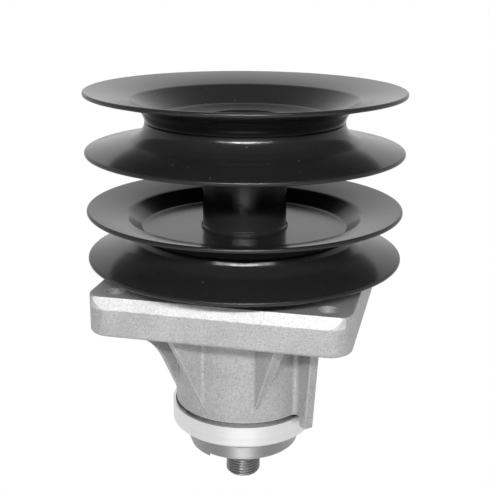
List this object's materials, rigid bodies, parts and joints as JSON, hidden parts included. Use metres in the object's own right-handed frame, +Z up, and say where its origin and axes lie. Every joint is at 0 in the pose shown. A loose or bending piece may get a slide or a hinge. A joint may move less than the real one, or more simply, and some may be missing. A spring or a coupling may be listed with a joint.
{
  "type": "mower deck spindle",
  "caption": "Mower deck spindle: square-flanged cast housing with webs, a shaft on ball bearings, a double V-belt pulley above and a blade hub with a threaded stud below.",
  "frame": {"origin": "centre of the four deck bolts, on the shaft axis, in the flange's upper face that seats under the deck", "axes": "+Z up the shaft towards the pulleys, X and Y square to the flange's sides, +X towards the side whose front web is a straight lug"},
  "size_m": [0.1366, 0.1366, 0.1806],
  "materials": {
    "cast_aluminium": "shot-blasted die casting",
    "turned_cup": "bright turned",
    "black_paint": "gloss black paint",
    "hub_steel": "turned steel",
    "shaft_steel": "turned steel with an oiled thread",
    "turned_steel": "turned steel",
    "zinc_steel": "zinc plated",
    "spring_steel": "dark spring steel",
    "bearing_steel": "ground",
    "cage_steel": "pressed",
    "seal_rubber": "matte"
  },
  "bodies": {
    "housing": {"housing": "cast_aluminium", "upper_snap_ring": "spring_steel", "lower_snap_ring": "spring_steel", "upper_outer_race": "bearing_steel", "upper_bearing_top_seal": "seal_rubber", "upper_bearing_bottom_seal": "seal_rubber", "lower_outer_race": "bearing_steel", "lower_bearing_top_seal": "seal_rubber", "lower_bearing_bottom_seal": "seal_rubber"},
    "rotor": {"shaft": "shaft_steel", "upper_inner_race": "bearing_steel", "lower_inner_race": "bearing_steel", "bearing_spacer": "turned_steel", "pulley_collar": "turned_steel", "dust_cup": "turned_cup", "blade_hub": "hub_steel", "lower_pulley_top_half": "black_paint", "lower_pulley_bottom_half": "black_paint", "upper_pulley_top_half": "black_paint", "upper_pulley_bottom_half": "black_paint", "hub_tube": "black_paint", "pulley_washer": "turned_steel", "lock_nut": "zinc_steel"},
    "upper_cage": {"upper_cage": "cage_steel", "upper_balls": "bearing_steel"},
    "lower_cage": {"lower_cage": "cage_steel", "lower_balls": "bearing_steel"}
  },
  "joints": [
    {"name": "rotor_spin", "type": "hinge", "parent": "housing", "child": "rotor", "pos_m": [0, 0, 0], "axis": [0, 0, 1], "continuous": true},
    {"name": "upper_cage_spin", "type": "hinge", "parent": "housing", "child": "upper_cage", "pos_m": [0, 0, 0], "axis": [0, 0, 1], "continuous": true},
    {"name": "lower_cage_spin", "type": "hinge", "parent": "housing", "child": "lower_cage", "pos_m": [0, 0, -0.0625], "axis": [0, 0, 1], "continuous": true}
  ],
  "couplings": [
    {"joint": "upper_cage_spin", "follows": "rotor_spin", "ratio": 0.3816},
    {"joint": "lower_cage_spin", "follows": "rotor_spin", "ratio": 0.3816}
  ]
}
